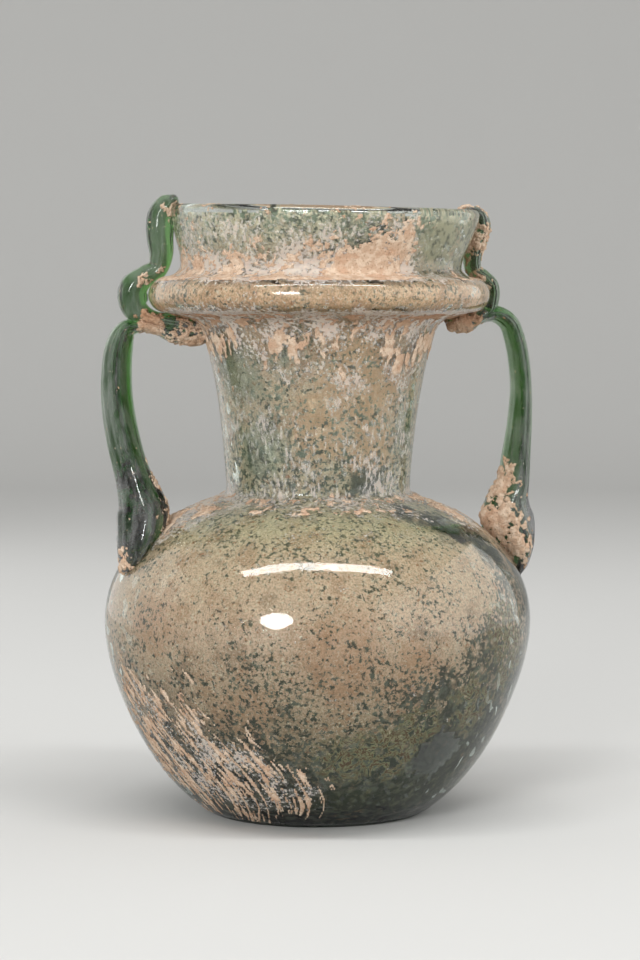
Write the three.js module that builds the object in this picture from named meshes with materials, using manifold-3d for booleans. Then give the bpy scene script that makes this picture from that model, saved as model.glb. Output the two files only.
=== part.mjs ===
// A two-handled glass jar of the later Roman east: a blown vessel whose wall is folded out into a
// hollow tubular collar under a flaring cup mouth, with two strap handles of darker glass applied to
// the shoulder, folded under the collar, wrapped round it and drawn up to the lip.
//
// Millimetres, +Z up. The origin is the centre of the foot, on the surface that the jar stands on.
// The handles lie along X.
import * as THREE from "three";
import { mergeVertices } from "three/addons/utils/BufferGeometryUtils.js";
import Module from "manifold-3d";

const wasm = await Module();
wasm.setup();

// ---------------------------------------------------------------- driving dimensions
const rimHeight = 118.65;
const rimRadius = 30.1; // outside the lip
const lipThickness = 2.6;
const belly = { radius: 42.2, height: 37.95 };
const neck = { radius: 18.1, rootHeight: 63, topRadius: 22.3, topHeight: 92.45 };
const flare = { radius: 3.4, rise: 5 }; // how far the neck's top opens out under the collar
const foot = { radius: 21, edge: 0.9, floorThickness: 3.6, floorRadius: 17, floorRounding: 0.5 };
const collar = { radius: 33.5, height: 101.45, halfHeight: 3.4, hollowRadius: 2.1 };
const slit = { width: 1.2, depth: 1, mouthDepth: 2.8, mouthRounding: 0.8 }; // into the collar's hollow
const cup = { radius: 27.5, height: 107 }; // the narrowest place between collar and lip
const fillet = { width: 1.1, rise: 0.25 }; // at the cup's root, on top of the collar

const wall = { base: 2.6, belly: 1.8, shoulder: 1.6, neck: 2, cup: 2 };

// What the soft glass did: the neck stands a little off centre, and the lip leans and dips.
const lean = 0.5; // towards +X, from the foot to the collar
const cupSkew = 1.5; // how much further the lip drifts than the collar
const lipDip = { slope: 0.03, towards: -55 }; // degrees from +X towards +Y

const roundSegments = 42;
const seamGap = 0.3; // left between each handle and the vessel that it is fused to

// ---------------------------------------------------------------- vessel
const toRadians = THREE.MathUtils.degToRad;
const point = (radius, height) => new THREE.Vector2(radius, height);

// A smooth outline through a few points, without its last one, so that outlines chain.
function smooth(points, steps) {
  return new THREE.SplineCurve(points).getPoints(steps).slice(0, -1);
}

function arc(centre, radius, fromDegrees, toDegrees, steps) {
  const from = toRadians(fromDegrees);
  const to = toRadians(toDegrees);
  const curve = new THREE.EllipseCurve(centre.x, centre.y, radius, radius, from, to, to < from);
  return curve.getPoints(steps);
}

// An outline moved to its left-hand side by a distance that depends on the height.
function moved(points, distance) {
  return points.map((p, i) => {
    const before = points[Math.max(i - 1, 0)];
    const after = points[Math.min(i + 1, points.length - 1)];
    const along = after.clone().sub(before).normalize();
    const shift = distance(p.y);
    return point(p.x - along.y * shift, p.y + along.x * shift);
  });
}

// Outside of the belly, from just above the foot's rounded edge up to the root of the neck. The
// shares are of the belly's radius, and of the height below and above its widest place.
function bellyOutline(steps) {
  const below = [
    [0.54, 0.022],
    [0.584, 0.06],
    [0.642, 0.114],
    [0.738, 0.231],
    [0.845, 0.419],
    [0.936, 0.644],
    [0.99, 0.862],
  ];
  const above = [
    [0.998, 0.065],
    [0.968, 0.3],
    [0.885, 0.525],
    [0.79, 0.692],
    [0.66, 0.84],
    [0.54, 0.914],
    [0.475, 0.955],
  ];
  const rise = neck.rootHeight - belly.height;
  return smooth(
    [
      ...below.map(([r, h]) => point(belly.radius * r, belly.height * h)),
      ...above.map(([r, h]) => point(belly.radius * r, belly.height + rise * h)),
      point(neck.radius, neck.rootHeight),
    ],
    steps,
  );
}

// Outside of the neck, from its root up to where it flares under the collar. The shares are of the
// neck's widening and of its height, then of the flare's.
function neckOutline(steps) {
  const column = [
    [0, 0],
    [0.024, 0.12],
    [0.167, 0.33],
    [0.381, 0.58],
    [0.667, 0.81],
    [1, 1],
  ];
  const top = [
    [0.32, 0.6],
    [1, 1],
  ];
  const widening = neck.topRadius - neck.radius;
  const rise = neck.topHeight - neck.rootHeight;
  return smooth(
    [
      ...column.map(([r, h]) => point(neck.radius + widening * r, neck.rootHeight + rise * h)),
      ...top.map(([r, h]) => point(neck.topRadius + flare.radius * r, neck.topHeight + flare.rise * h)),
    ],
    steps,
  );
}

const collarTube = point(collar.radius - collar.halfHeight, collar.height);

// Outside of the collar's tube, from its underside round to the fillet at the root of the cup.
function collarOutline(steps) {
  return [
    ...arc(collarTube, collar.halfHeight, -90, 90, steps),
    point(cup.radius + fillet.width, collar.height + collar.halfHeight + fillet.rise),
  ];
}

// Outside of the cup, from its narrowest place up to the lip's widest. The shares are of the cup's
// widening and of its height.
function cupOutline(steps) {
  const shares = [
    [0, -0.058],
    [0.07, 0.16],
    [0.47, 0.45],
    [0.86, 0.78],
    [1, 1],
  ];
  const widening = rimRadius - cup.radius;
  const rise = rimHeight - lipThickness / 2 - cup.height;
  return smooth(
    shares.map(([r, h]) => point(cup.radius + widening * r, cup.height + rise * h)),
    steps,
  );
}

// The foot's rounded edge, from the flat underside outwards.
function footEdge() {
  return arc(point(foot.radius, foot.edge), foot.edge, -90, -20, 3);
}

function outerOutline() {
  return [
    ...footEdge(),
    ...bellyOutline(18),
    ...neckOutline(8),
    ...collarOutline(7),
    ...cupOutline(4),
  ];
}

// The rounded lip, from outside to inside.
function lipOutline(toDegrees) {
  const middle = point(rimRadius - lipThickness / 2, rimHeight - lipThickness / 2);
  return arc(middle, lipThickness / 2, 0, toDegrees, Math.round(toDegrees / 36));
}

function bellyWall(height) {
  const { mapLinear } = THREE.MathUtils;
  return height < belly.height
    ? mapLinear(height, 0, belly.height, wall.base, wall.belly)
    : mapLinear(height, belly.height, neck.rootHeight, wall.belly, wall.shoulder);
}

// From under the lip down to the middle of the floor, with the slit that opens into the collar's
// hollow on the way.
function innerOutline() {
  const cupInside = moved(cupOutline(3), () => wall.cup);
  const neckInside = moved(neckOutline(5), () => wall.neck);
  const bellyInside = moved(bellyOutline(10), bellyWall);
  const slitRadius = collarTube.x - collar.hollowRadius - slit.depth;
  const mouthRadius = cup.radius - slit.mouthDepth;
  const halfSlit = slit.width / 2;
  const halfMouth = halfSlit + slit.mouthRounding;
  return [
    ...cupInside.slice(1).reverse(),
    point(mouthRadius, collar.height + halfMouth),
    point(slitRadius, collar.height + halfSlit),
    ...arc(collarTube, collar.hollowRadius, 150, -150, 5),
    point(slitRadius, collar.height - halfSlit),
    point(mouthRadius, collar.height - halfMouth),
    ...neckInside.reverse(),
    ...bellyInside.slice(2).reverse(),
    point(foot.floorRadius, foot.floorThickness + foot.floorRounding),
    point(0, foot.floorThickness),
  ];
}

// The drift and dip that the vessel took as it cooled, given to every point of a solid.
function settle(geometry) {
  const position = geometry.attributes.position;
  const dipX = Math.cos(toRadians(lipDip.towards)) * lipDip.slope;
  const dipY = Math.sin(toRadians(lipDip.towards)) * lipDip.slope;
  for (let i = 0; i < position.count; i++) {
    const x = position.getX(i);
    const z = position.getZ(i);
    const upCup = Math.max(0, (z - collar.height) / (rimHeight - collar.height));
    const drift = (lean * Math.min(z, collar.height)) / collar.height + cupSkew * upCup ** 1.2;
    position.setX(i, x + drift);
    position.setZ(i, z - (dipX * x + dipY * position.getY(i)) * upCup);
  }
  return geometry;
}

function turned(outline) {
  const geometry = new THREE.LatheGeometry(outline, roundSegments);
  geometry.rotateX(Math.PI / 2);
  return settle(geometry);
}

function vesselGeometry() {
  return turned([point(0, 0), ...outerOutline(), ...lipOutline(180), ...innerOutline()]);
}

// The vessel's outside as a filled solid, a little larger all round, which the handles are cut by.
function vesselEnvelope() {
  const grown = moved([...outerOutline(), ...lipOutline(108)], () => -seamGap);
  return turned([point(0, -1), point(foot.radius, -1), ...grown, point(0, rimHeight + seamGap)]);
}

// ---------------------------------------------------------------- handles
// A strap drawn out of hot glass. Each station is [radius, height, thickness, width, aside]: where the
// strap's middle is, its size in the handle's plane and across it, and how many degrees it stands from
// the X axis towards +Y. A unit cylinder is bent along the stations, and lengthwise ribs are pressed
// into it.
function strapGeometry(stations, direction, { sides, steps, ribDepth }) {
  const middle = new THREE.CatmullRomCurve3(
    stations.map(([radius, height, , , aside]) => {
      const turn = toRadians(aside);
      return new THREE.Vector3(direction * radius * Math.cos(turn), radius * Math.sin(turn), height);
    }),
  );
  const size = new THREE.CatmullRomCurve3(
    stations.map(([, , thickness, width, aside]) => new THREE.Vector3(thickness, width, aside)),
  );
  const geometry = new THREE.CylinderGeometry(1, 1, 1, sides, steps);
  const position = geometry.attributes.position;
  for (let i = 0; i < position.count; i++) {
    const along = THREE.MathUtils.clamp(position.getY(i) + 0.5, 0, 1);
    const { x: thickness, y: width, z: aside } = size.getPoint(along);
    const turn = toRadians(aside);
    const across = new THREE.Vector3(-direction * Math.sin(turn), Math.cos(turn), 0);
    const outward = new THREE.Vector3().crossVectors(across, middle.getTangent(along)).normalize();
    const around = Math.atan2(position.getZ(i), position.getX(i));
    const groove = 1 - ribDepth * (0.5 - 0.5 * Math.cos(4 * around));
    const fromMiddle = Math.hypot(position.getX(i), position.getZ(i)) * groove;
    const place = middle
      .getPoint(along)
      .addScaledVector(outward, (Math.sin(around) * fromMiddle * thickness) / 2)
      .addScaledVector(across, (Math.cos(around) * fromMiddle * width) / 2);
    position.setXYZ(i, place.x, place.y, place.z);
  }
  return geometry;
}

function solidOf(geometry) {
  const bare = geometry.clone();
  bare.deleteAttribute("normal");
  bare.deleteAttribute("uv");
  const merged = mergeVertices(bare, 1e-3);
  const mesh = new wasm.Mesh({
    numProp: 3,
    vertProperties: merged.attributes.position.array,
    triVerts: new Uint32Array(merged.index.array),
  });
  return new wasm.Manifold(mesh);
}

function geometryOf(solid) {
  const { vertProperties, triVerts } = solid.getMesh();
  return new THREE.BufferGeometry()
    .setAttribute("position", new THREE.BufferAttribute(vertProperties, 3))
    .setIndex(new THREE.BufferAttribute(triVerts, 1));
}

// The largest piece of a solid that a cut may have parted.
function largestPiece(solid) {
  return solid.decompose().reduce((most, piece) => (piece.volume() > most.volume() ? piece : most));
}

// From the pad on the shoulder up the shaft, over the bend and in under the collar to the fold.
const leftShaft = [
  [38.6, 48.8, 2.4, 5.6, -9.5],
  [37.6, 50.8, 5.4, 10, -8.4],
  [36.4, 53.6, 8, 12, -7.2],
  [35.2, 56.8, 9.8, 12.4, -6.2],
  [34.8, 60.2, 9.8, 11.8, -5],
  [35.8, 64, 7.8, 10.8, -3.8],
  [37, 68.4, 6.7, 10, -2.2],
  [38.2, 73.8, 6.5, 9.6, 0],
  [39.1, 80.4, 6.2, 9.2, 3],
  [39.2, 86, 5.9, 9, 5],
  [38.7, 91, 5.4, 8.6, 7],
  [37.3, 94.5, 4, 8, 8.5],
  [34.4, 95.4, 2.4, 7.4, 9.5],
  [31.4, 94.9, 2.4, 7, 10],
  [28.4, 94.1, 3.8, 7, 10],
  [24.6, 94.1, 4.6, 7, 10],
  [21.6, 94.2, 3.8, 6.4, 10],
];
// From the fold back out under the collar, round its edge and up over the lip.
const leftTrail = [
  [22.6, 95.2, 3.4, 6, 10],
  [27.4, 96, 3.6, 6.8, 10],
  [31.8, 96.8, 3, 6.8, 10],
  [35, 98.2, 4.8, 6.6, 10],
  [36, 100.6, 5.8, 6.6, 10],
  [35.7, 103, 5.6, 6.6, 10],
  [33.7, 105, 4.2, 6.2, 10],
  [31.2, 106.6, 4, 5.8, 10],
  [30.4, 109.4, 4.6, 5.6, 9],
  [30.6, 112.8, 5.2, 5.6, 8],
  [30.5, 116.2, 5.4, 5.6, 8],
  [29.6, 118.8, 4.2, 5.8, 8],
  [27.8, 120, 2.2, 5.8, 8],
];

const rightShaft = [
  [42, 45.4, 2.6, 6, 8],
  [42.2, 47.6, 5.4, 9.6, 8],
  [41.8, 50.6, 8.4, 12, 8],
  [41, 54, 10.4, 12.4, 7.8],
  [40.2, 57.4, 10.8, 12, 7.4],
  [40.4, 60.6, 8.6, 11.2, 7],
  [41.2, 64.2, 6.4, 10.4, 6.2],
  [41.5, 68.8, 5.7, 9.8, 5.4],
  [42, 75.4, 4.8, 9, 4.6],
  [42.1, 82.6, 4.1, 8.4, 3.8],
  [41.5, 88.4, 4.1, 8.2, 3.2],
  [40.6, 92.6, 4, 8, 3],
  [39.2, 96, 3.8, 7.8, 3],
  [36.4, 97.7, 3.4, 7.4, 3],
  [33.2, 97.1, 2.8, 7.2, 2.6],
  [30.4, 96.1, 4, 7, 2],
  [27.6, 96.2, 3.4, 6.4, 2],
];
const rightTrail = [
  [28.6, 96.6, 3, 6.4, 2],
  [31.6, 97, 2.8, 6.8, 2],
  [34.4, 98.2, 3, 7, 2.6],
  [35.3, 100.4, 3.5, 7, 3],
  [35.3, 103, 3.5, 7, 3],
  [34, 104.9, 3, 6.8, 3.6],
  [32.2, 106.5, 3, 6.6, 4.2],
  [32, 109.2, 3.4, 6.8, 4.6],
  [33, 112.6, 4.2, 7.4, 5.2],
  [33.5, 115.4, 4.4, 8, 5.8],
  [32.6, 117.5, 3, 9.4, 6],
  [30.4, 118.1, 1.6, 10.6, 6.4],
];

function handleGeometry(shaft, trail, direction, envelope) {
  const shaftSolid = solidOf(
    strapGeometry(shaft, direction, { sides: 16, steps: 28, ribDepth: 0.1 }),
  );
  const trailSolid = solidOf(
    strapGeometry(trail, direction, { sides: 12, steps: 22, ribDepth: 0 }),
  );
  return geometryOf(largestPiece(shaftSolid.add(trailSolid).subtract(envelope)));
}

// ---------------------------------------------------------------- the jar
function piece(name, geometry, color, roughness) {
  const material = new THREE.MeshStandardMaterial({ color, roughness, metalness: 0 });
  const mesh = new THREE.Mesh(geometry, material);
  mesh.name = name;
  return mesh;
}

const jar = new THREE.Group();
const envelope = solidOf(vesselEnvelope());
const vesselGreen = "#8f9678";
const handleGreen = "#2c5a2f";
jar.add(piece("vessel", vesselGeometry(), vesselGreen, 0.35));
jar.add(piece("left_handle", handleGeometry(leftShaft, leftTrail, -1, envelope), handleGreen, 0.2));
jar.add(piece("right_handle", handleGeometry(rightShaft, rightTrail, 1, envelope), handleGreen, 0.2));

export default jar;
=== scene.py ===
# A two-handled jar of late Roman glass with a folded collar: pale green blown glass with soil on its
# inside, dark green handles, and crust on its outside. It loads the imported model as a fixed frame,
# replaces each solid with a finished piece and lights it on a plain pale floor.
import math
import random

import bpy
from mathutils import Matrix, Vector, noise


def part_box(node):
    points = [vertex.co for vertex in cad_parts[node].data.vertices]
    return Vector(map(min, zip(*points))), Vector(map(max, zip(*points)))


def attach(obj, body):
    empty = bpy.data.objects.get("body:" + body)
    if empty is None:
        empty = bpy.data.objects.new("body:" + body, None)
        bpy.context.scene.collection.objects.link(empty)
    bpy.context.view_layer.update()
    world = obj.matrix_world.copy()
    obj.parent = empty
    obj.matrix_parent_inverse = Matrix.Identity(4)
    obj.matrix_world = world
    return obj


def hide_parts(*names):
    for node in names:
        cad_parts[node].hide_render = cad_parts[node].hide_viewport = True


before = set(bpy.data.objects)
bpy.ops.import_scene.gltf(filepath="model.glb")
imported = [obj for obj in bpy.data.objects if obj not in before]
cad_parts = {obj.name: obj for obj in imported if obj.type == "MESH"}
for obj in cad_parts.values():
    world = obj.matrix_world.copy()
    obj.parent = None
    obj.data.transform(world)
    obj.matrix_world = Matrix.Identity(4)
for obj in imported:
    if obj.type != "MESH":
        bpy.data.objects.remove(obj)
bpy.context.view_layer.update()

vesselLow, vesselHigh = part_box("vessel")
mm = (vesselHigh.y - vesselLow.y) / 84.23  # one millimetre of the frame


def selectOnly(piece):
    bpy.ops.object.select_all(action="DESELECT")
    piece.select_set(True)
    bpy.context.view_layer.objects.active = piece


def copyOf(piece, name):
    copied = piece.copy()
    copied.data = piece.data.copy()
    copied.name = name
    bpy.context.scene.collection.objects.link(copied)
    selectOnly(copied)
    return copied


def applyModifier(piece, kind, **values):
    selectOnly(piece)
    modifier = piece.modifiers.new(kind.lower(), kind)
    for name, value in values.items():
        setattr(modifier, name, value)
    bpy.ops.object.modifier_apply(modifier=modifier.name)


def deleteFaces(piece, isWanted):
    selectOnly(piece)
    wanted = [isWanted(face) for face in piece.data.polygons]
    bpy.ops.object.mode_set(mode="EDIT")
    bpy.ops.mesh.select_mode(type="FACE")
    bpy.ops.mesh.select_all(action="DESELECT")
    bpy.ops.object.mode_set(mode="OBJECT")
    for face, keep in zip(piece.data.polygons, wanted):
        face.select = not keep
    bpy.ops.object.mode_set(mode="EDIT")
    bpy.ops.mesh.delete(type="FACE")
    bpy.ops.object.mode_set(mode="OBJECT")


def smoothLine(points, steps):
    # a smooth line through a few points, given as steps + 1 points
    last = len(points) - 1
    line = []
    for i in range(steps + 1):
        place = i / steps * last
        k = min(int(place), last - 1)
        t = place - k
        near = [points[min(max(j, 0), last)] for j in (k - 1, k, k + 1, k + 2)]
        line.append(
            tuple(
                (2 * b + (c - a) * t + (2 * a - 5 * b + 4 * c - d) * t**2 + (3 * b - a - 3 * c + d) * t**3) / 2
                for a, b, c, d in zip(*near)
            )
        )
    return line


def fillHoles(piece):
    selectOnly(piece)
    bpy.ops.object.mode_set(mode="EDIT")
    bpy.ops.mesh.select_mode(type="EDGE")
    bpy.ops.mesh.select_all(action="DESELECT")
    bpy.ops.mesh.select_non_manifold()
    bpy.ops.mesh.fill_holes(sides=0)
    bpy.ops.mesh.select_all(action="SELECT")
    bpy.ops.mesh.normals_make_consistent(inside=False)
    bpy.ops.object.mode_set(mode="OBJECT")


def relaxed(line, times):
    # the line with its unevenness smoothed out and its ends kept
    for _ in range(times):
        inner = [
            tuple((a + 2 * b + c) / 4 for a, b, c in zip(before, here, after))
            for before, here, after in zip(line, line[1:], line[2:])
        ]
        line = [line[0], *inner, line[-1]]
    return line


def blur(low, high, value):
    # 0 below low, 1 above high, and a smooth rise between
    t = min(max((value - low) / (high - low), 0), 1)
    return t * t * (3 - 2 * t)


def turnSelected(turn, centre):
    # turn is a small rotation matrix; the operator turns the other way, hence the minus
    for axis, angle in zip("XYZ", turn.to_euler("XYZ")):
        if abs(angle) > 1e-7:
            bpy.ops.transform.rotate(value=-angle, orient_axis=axis, orient_type="GLOBAL", center_override=centre)


# Heights and radii are in millimetres of the frame.
vessel = {
    "sides": 96,
    "rimHeight": 118.65,
    "rimRadius": 30.1,
    "lipThickness": 2.6,
    "bellyRadius": 42.2,
    "bellyHeight": 37.95,
    "neckRadius": 18.1,
    "rootHeight": 63,
    "footRadius": 21,
    "floorThickness": 3.6,
    "floorRadius": 17,
    "collarRadius": 33.5,
    "collarHeight": 101.45,
    "collarHalf": 3.4,
    "hollowRadius": 2.1,
    "cupRadius": 27.5,
    "cupHeight": 107,
    "lean": 0.5,
    "cupSkew": 1.5,
    "dipSlope": 0.03,
    "dipTowards": math.radians(-55),
    "waveSize": 17,
    "waveDepth": 0.22,
}
belowBelly = [(0.54, 0.022), (0.584, 0.06), (0.642, 0.114), (0.738, 0.231), (0.845, 0.419), (0.936, 0.644), (0.99, 0.862)]
aboveBelly = [(0.998, 0.065), (0.968, 0.3), (0.885, 0.525), (0.79, 0.692), (0.66, 0.84), (0.54, 0.914), (0.475, 0.955)]
neckPoints = [(18.1, 63), (18.2, 66.5), (18.8, 72.7), (19.7, 80.1), (20.9, 86.9), (22.3, 92.45), (23.4, 95.45), (25.7, 97.45)]


def bellyOutline(steps):
    v = vessel
    rise = v["rootHeight"] - v["bellyHeight"]
    points = [(v["bellyRadius"] * r, v["bellyHeight"] * h) for r, h in belowBelly]
    points += [(v["bellyRadius"] * r, v["bellyHeight"] + rise * h) for r, h in aboveBelly]
    return relaxed(smoothLine(points + [neckPoints[0]], steps), 6)


def cupOutline(steps):
    v = vessel
    flare = v["rimRadius"] - v["cupRadius"]
    rise = v["rimHeight"] - v["lipThickness"] / 2 - v["cupHeight"]
    shares = [(0, -0.058), (0.07, 0.16), (0.47, 0.45), (0.86, 0.78), (1, 1)]
    return smoothLine([(v["cupRadius"] + flare * r, v["cupHeight"] + rise * h) for r, h in shares], steps)


def arc(centre, radius, start, end, steps):
    angles = [math.radians(start + (end - start) * i / steps) for i in range(steps + 1)]
    return [(centre[0] + radius * math.cos(a), centre[1] + radius * math.sin(a)) for a in angles]


def movedIn(line, wall):
    # the line moved to its left-hand side by the wall's thickness at each height
    moved = []
    for i, (radius, height) in enumerate(line):
        before, after = line[max(i - 1, 0)], line[min(i + 1, len(line) - 1)]
        along = Vector((after[0] - before[0], after[1] - before[1])).normalized()
        moved.append((radius - along.y * wall(height), height + along.x * wall(height)))
    return moved


def outerLine():
    v = vessel
    tube = (v["collarRadius"] - v["collarHalf"], v["collarHeight"])
    return [
        (0.4, 0.6),
        (5, 0.58),
        (11, 0.45),
        (16, 0.2),
        (18.5, 0.02),
        *arc((v["footRadius"], 0.9), 0.9, -90, -20, 4),
        *bellyOutline(44)[:-1],
        *smoothLine(neckPoints, 22)[:-1],
        *arc(tube, v["collarHalf"], -90, 90, 16),
        (v["cupRadius"] + 1.1, v["collarHeight"] + v["collarHalf"] + 0.25),
        *cupOutline(12)[:-1],
    ]


def innerLine():
    v = vessel
    tube = (v["collarRadius"] - v["collarHalf"], v["collarHeight"])
    neckRoom = tube[0] - v["hollowRadius"] - 1
    return [
        *reversed(movedIn(cupOutline(10), lambda height: 2)[1:]),
        (v["cupRadius"] - 2.8, tube[1] + 1.4),
        (neckRoom, tube[1] + 0.6),
        *arc(tube, v["hollowRadius"], 150, -150, 12),
        (neckRoom, tube[1] - 0.6),
        (v["cupRadius"] - 2.8, tube[1] - 1.4),
        *reversed(movedIn(smoothLine(neckPoints, 16), lambda height: 2)),
        *reversed(movedIn(bellyOutline(34), lambda height: 2.6 - 0.9 * min(height / 50, 1))[3:]),
        (v["floorRadius"], v["floorThickness"] + 0.5),
        (11, v["floorThickness"]),
        (5, v["floorThickness"]),
        (0.4, v["floorThickness"]),
    ]


def settled(height):
    # how far the soft glass had drifted and dipped at a height
    v = vessel
    upCup = max(0, (height - v["collarHeight"]) / (v["rimHeight"] - v["collarHeight"]))
    drift = v["lean"] * min(height, v["collarHeight"]) / v["collarHeight"] + v["cupSkew"] * upCup**1.2
    return Vector((drift, 0, height)) * mm, v["dipSlope"] * upCup


def blowVessel(name):
    # ring after ring, up the outside, over the lip and down the inside to the floor
    lipMiddle = (vessel["rimRadius"] - 1.3, vessel["rimHeight"] - 1.3)
    outer = outerLine() + arc(lipMiddle, 1.3, 0, 90, 5)
    rings = outer + arc(lipMiddle, 1.3, 108, 180, 4) + innerLine()
    dipAxis = Vector((math.sin(vessel["dipTowards"]), -math.cos(vessel["dipTowards"]), 0))
    centre, dip = settled(rings[0][1])
    bpy.ops.mesh.primitive_circle_add(vertices=vessel["sides"], radius=rings[0][0] * mm, location=centre)
    piece = bpy.context.object
    piece.name = name
    bpy.ops.object.transform_apply()
    bpy.ops.object.mode_set(mode="EDIT")
    bpy.ops.mesh.select_all(action="SELECT")
    for before, after in zip(rings, rings[1:]):
        nextCentre, nextDip = settled(after[1])
        grow = after[0] / before[0]
        bpy.ops.mesh.extrude_edges_move(TRANSFORM_OT_translate={"value": nextCentre - centre})
        bpy.ops.transform.resize(value=(grow, grow, grow), center_override=nextCentre)
        turnSelected(Matrix.Rotation(dip - nextDip, 3, dipAxis), nextCentre)
        centre, dip = nextCentre, nextDip
    bpy.ops.object.mode_set(mode="OBJECT")
    fillHoles(piece)
    for face in piece.data.polygons:
        pastLip = face.index // vessel["sides"] >= len(outer) - 1
        face.material_index = 1 if pastLip and face.center.z > mm else 0
    return piece


outline = [point for point in outerLine() if point[1] > 0.5 and point[0] > 17]


def onWall(spots):
    # spots on the outside are given as degrees round from +X, height and size; these are their points and sizes
    placed = []
    for angle, height, size in spots:
        radius = min(outline, key=lambda point: abs(point[1] - height))[0]
        turn = math.radians(angle)
        placed.append((Vector((radius * math.cos(turn), radius * math.sin(turn), height)), size))
    return placed


def nearness(point, placed):
    # 1 in the middle of the nearest spot, 0 at its edge and below 0 beyond it
    return max(1 - (point - middle).length / size for middle, size in placed)


def lumpiness(point, size, octaves=3, shift=0):
    return noise.fractal(point / size + Vector((shift, shift, shift)), 0.8, 2.1, octaves)


print("blowing the vessel")
vesselGlass = blowVessel("vessel_glass")
wallCutter = copyOf(vesselGlass, "wall_cutter")
applyModifier(vesselGlass, "SUBSURF", levels=1, render_levels=1)
waves = bpy.data.textures.new("blown waves", "CLOUDS")
waves.noise_scale = vessel["waveSize"] * mm
waves.noise_depth = 1
applyModifier(vesselGlass, "DISPLACE", texture=waves, strength=vessel["waveDepth"] * mm, mid_level=0.5)
bpy.ops.object.shade_smooth()

# marks the outside, which carries the weathering
outside = vesselGlass.data.attributes.new("outside", "FLOAT", "POINT")
for face in vesselGlass.data.polygons:
    if face.material_index == 0:
        for corner in face.vertices:
            outside.data[corner].value = 1

soil = {
    "gap": 0.06,  # between the glass and the dry soil, so that the wall still gleams at its edges
    "depth": 0.4,
    "lumpSize": 1.6,
    "lumpDepth": 0.7,
    "topHeight": 116.9,
    "topWander": 0.9,
    "fallenAway": [  # where the glass is bare inside: angle, height, radius
        (-57, 14, 6),
        (-40, 57, 4),
        (118, 42, 6),
    ],
    "thin": [(-62, 22, 12), (-44, 30, 14), (-30, 42, 12), (-54, 15, 12), (-80, 13, 9), (70, 30, 15), (130, 25, 14)],
    # spots of dark film: partly a film on the glass, partly painted shade of the hollow behind it
    "filmedAndShaded": [
        (-88, 5.5, 7),
        (-66, 5, 8),
        (-104, 4.5, 6),
        (-48, 8, 9),
        (-34, 17, 10),
        (-24, 27, 10),
        (-13, 38, 10),
        (-12, 48, 10),
        (-30, 54, 8),
        (-45, 58.5, 7),
        (-54, 60.6, 5),
        (172, 50, 7),
        (170, 40, 8),
        (172, 29, 8),
        (-43, 112, 7),
        (-20, 110, 8),
        (-64, 66.5, 4.5),
    ],
    "wormed": [(-79, 15, 9), (-68, 19, 8), (-92, 14, 7), (-50, 24, 8), (-38, 38, 9), (-34, 30, 7), (80, 14, 10)],
    "peachy": [(-72, 84, 12), (-96, 76, 9), (-62, 72, 8), (-80, 93, 9), (70, 82, 12)],
    "greenish": [(-152, 87, 9), (-138, 72, 8), (-118, 90, 5), (-30, 74, 6), (120, 78, 9)],
    "rusty": [(-92, 34, 11), (-72, 31, 9), (-150, 40, 9), (-120, 22, 9), (90, 36, 12)],
    "brownSpots": [(-152, 59, 2), (-140, 27.5, 1), (-146, 33, 0.9), (-101, 12.5, 1.3), (-130, 52, 1.4), (-70, 10, 0.8)],
}


def lineVessel(glass, name):
    # the glass's inner faces, taken a little off the wall and thickened into the hollow
    piece = copyOf(glass, name)
    bare = onWall(soil["fallenAway"])

    def isCoated(face):
        point = face.center / mm
        if face.material_index == 0 or point.z > soil["topHeight"] + 4 * soil["topWander"]:
            return False
        wander = lumpiness(point, 6) * soil["topWander"]
        ragged = lumpiness(point, 3.5, 4) * 0.2
        return point.z < soil["topHeight"] + wander and nearness(point, bare) + ragged < 0

    deleteFaces(piece, isCoated)
    applyModifier(piece, "DISPLACE", strength=soil["gap"] * mm, mid_level=0)
    inward = piece.vertex_groups.new(name="inward")
    for face in piece.data.polygons:
        face.material_index = 0
    applyModifier(
        piece,
        "SOLIDIFY",
        thickness=soil["depth"] * mm,
        offset=1,
        shell_vertex_group=inward.name,
        material_offset=1,
    )
    lumps = bpy.data.textures.new("soil lumps", "CLOUDS")
    lumps.noise_scale = soil["lumpSize"] * mm
    lumps.noise_depth = 3
    applyModifier(
        piece,
        "DISPLACE",
        texture=lumps,
        strength=soil["lumpDepth"] * mm,
        mid_level=0.3,
        vertex_group=inward.name,
    )
    bpy.ops.object.shade_smooth()
    return piece


print("lining it with soil")
innerSoil = lineVessel(vesselGlass, "inner_soil")

# Stations along each strap: radius, height, thickness, width, and degrees aside from the X axis.
strap = {
    "sides": 56,
    "shaftSteps": 150,
    "trailSteps": 110,
    "ribs": 4,
    "ribDepth": 0.13,
    "striaDepth": 0.014,
    "embed": 0.25,  # how deep its foot and folds are fused into the wall
}
leftShaft = [
    (38.6, 48.8, 2.4, 5.6, -9.5),
    (37.6, 50.8, 5.4, 10, -8.4),
    (36.4, 53.6, 8, 12, -7.2),
    (35.2, 56.8, 9.8, 12.4, -6.2),
    (34.8, 60.2, 9.8, 11.8, -5),
    (35.8, 64, 7.8, 10.8, -3.8),
    (37, 68.4, 6.7, 10, -2.2),
    (38.2, 73.8, 6.5, 9.6, 0),
    (39.1, 80.4, 6.2, 9.2, 3),
    (39.2, 86, 5.9, 9, 5),
    (38.7, 91, 5.4, 8.6, 7),
    (37.3, 94.5, 4, 8, 8.5),
    (34.4, 95.4, 2.4, 7.4, 9.5),
    (31.4, 94.9, 2.4, 7, 10),
    (28.4, 94.1, 3.8, 7, 10),
    (24.6, 94.1, 4.6, 7, 10),
    (21.6, 94.2, 3.8, 6.4, 10),
]
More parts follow.
